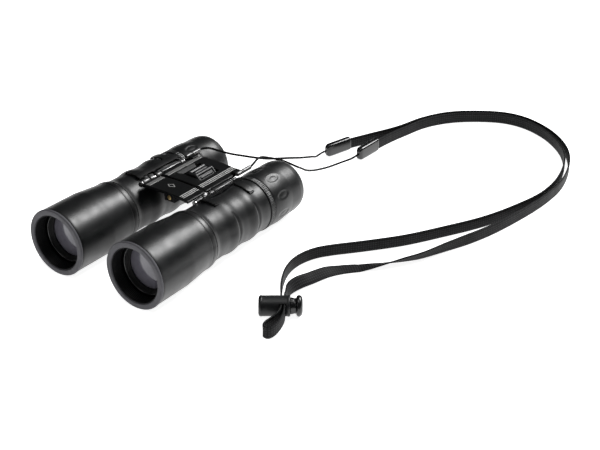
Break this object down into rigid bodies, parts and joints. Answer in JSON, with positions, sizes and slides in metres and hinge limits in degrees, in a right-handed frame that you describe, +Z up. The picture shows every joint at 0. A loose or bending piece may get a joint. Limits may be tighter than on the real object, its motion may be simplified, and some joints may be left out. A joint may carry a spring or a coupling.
{
  "type": "binoculars",
  "caption": "Compact double-hinge roof-prism binoculars with ribbed barrels, bridge with centre focus wheel, eyecups and a webbing neck strap with cord lock.",
  "frame": {"origin": "centre of the instrument's footprint on the floor it lies on, the strap left out", "axes": "+X towards the user's left barrel, +Y from the objectives to the eyecups (the optical axes dip 1.5 degrees towards +Y), +Z up"},
  "size_m": [0.2118, 0.332, 0.0409],
  "materials": {
    "barrel_plastic": "satin black",
    "rim_plastic": "dull dark grey",
    "inner_black": "matt black anodised",
    "coated_glass": "anti-reflection coated",
    "prism_glass": "clear",
    "steel": "plain",
    "bridge_paint": "gloss black",
    "black_rubber": "matt black",
    "brass": "machined",
    "strap_fabric": "woven black nylon",
    "lock_plastic": "moulded black"
  },
  "bodies": {
    "bridge": {"rear_bridge_plate": "bridge_paint", "bridge_bottom_cover": "barrel_plastic", "left_hinge_pin": "steel", "right_hinge_pin": "steel", "left_strap_lug": "bridge_paint", "right_strap_lug": "bridge_paint", "cover_screw_1": "steel", "cover_screw_2": "steel", "left_cord": "strap_fabric", "right_cord": "strap_fabric", "left_web_joint": "lock_plastic", "right_web_joint": "lock_plastic", "inner_webbing": "strap_fabric", "outer_webbing": "strap_fabric", "cord_lock_body": "lock_plastic"},
    "focus_carriage": {"front_bridge_plate": "bridge_paint", "focus_nut": "brass"},
    "focus_gear": {"focus_wheel": "barrel_plastic", "focus_shaft": "brass"},
    "left_barrel": {"left_objective_tube": "barrel_plastic", "left_objective_bezel": "rim_plastic", "left_barrel_housing": "barrel_plastic", "left_hinge_bracket": "bridge_paint", "left_prism_holder": "inner_black", "left_front_prism": "prism_glass", "left_rear_prism": "prism_glass", "left_ocular_tube": "inner_black", "left_field_lens": "coated_glass", "left_eye_lens": "coated_glass", "left_eyepiece_ring": "black_rubber", "left_eyecup": "black_rubber"},
    "right_barrel": {"right_objective_tube": "barrel_plastic", "right_objective_bezel": "rim_plastic", "right_barrel_housing": "barrel_plastic", "right_hinge_bracket": "bridge_paint", "right_prism_holder": "inner_black", "right_front_prism": "prism_glass", "right_rear_prism": "prism_glass"},
    "left_objective_group": {"left_objective_cell": "inner_black", "left_lens_retaining_ring": "inner_black", "left_objective_lens": "coated_glass", "left_focus_arm": "steel"},
    "right_objective_group": {"right_objective_cell": "inner_black", "right_lens_retaining_ring": "inner_black", "right_objective_lens": "coated_glass", "right_focus_arm": "steel"},
    "right_diopter": {"right_eyepiece_ring": "black_rubber", "right_eyecup": "black_rubber"},
    "right_ocular": {"right_ocular_tube": "inner_black", "right_field_lens": "coated_glass", "right_eye_lens": "coated_glass"},
    "lock_plunger": {"cord_lock_plunger": "lock_plastic"}
  },
  "joints": [
    {"name": "left_barrel_hinge", "type": "hinge", "parent": "bridge", "child": "left_barrel", "pos_m": [0.0205, 0.01193, 0.03331], "axis": [0, 0.9996, -0.0268], "range_deg": [-30, 20]},
    {"name": "right_barrel_hinge", "type": "hinge", "parent": "bridge", "child": "right_barrel", "pos_m": [-0.0205, 0.01193, 0.03331], "axis": [0, 0.9996, -0.0268], "range_deg": [-20, 30]},
    {"name": "carriage_slide", "type": "slide", "parent": "bridge", "child": "focus_carriage", "axis": [0, 0.9996, -0.0268], "range_m": [-0.0012, 0.0012]},
    {"name": "focus_turn", "type": "hinge", "parent": "bridge", "child": "focus_gear", "pos_m": [0, 0.02434, 0.02998], "axis": [0, 0.9996, -0.0268], "range_deg": [-180, 180]},
    {"name": "left_focus_slide", "type": "slide", "parent": "left_barrel", "child": "left_objective_group", "axis": [0, 0.9996, -0.0268], "range_m": [-0.0012, 0.0012]},
    {"name": "right_focus_slide", "type": "slide", "parent": "right_barrel", "child": "right_objective_group", "axis": [0, 0.9996, -0.0268], "range_m": [-0.0012, 0.0012]},
    {"name": "diopter_turn", "type": "hinge", "parent": "right_barrel", "child": "right_diopter", "pos_m": [-0.0296, 0.03552, 0.01793], "axis": [0, 0.9996, -0.0268], "range_deg": [-30, 30]},
    {"name": "diopter_slide", "type": "slide", "parent": "right_barrel", "child": "right_ocular", "axis": [0, 0.9996, -0.0268], "range_m": [-0.0008, 0.0008]},
    {"name": "lock_press", "type": "slide", "parent": "bridge", "child": "lock_plunger", "axis": [-0.8192, -0.5736, 0], "range_m": [0, 0.0015], "stiffness_N_per_m": 800, "springref_m": -0.003}
  ],
  "couplings": [
    {"joint": "focus_turn", "follows": "carriage_slide", "rad_per_m": -2617},
    {"joint": "left_focus_slide", "follows": "carriage_slide", "ratio": 1},
    {"joint": "right_focus_slide", "follows": "carriage_slide", "ratio": 1},
    {"joint": "diopter_slide", "follows": "diopter_turn", "m_per_rad": 0.0015}
  ]
}
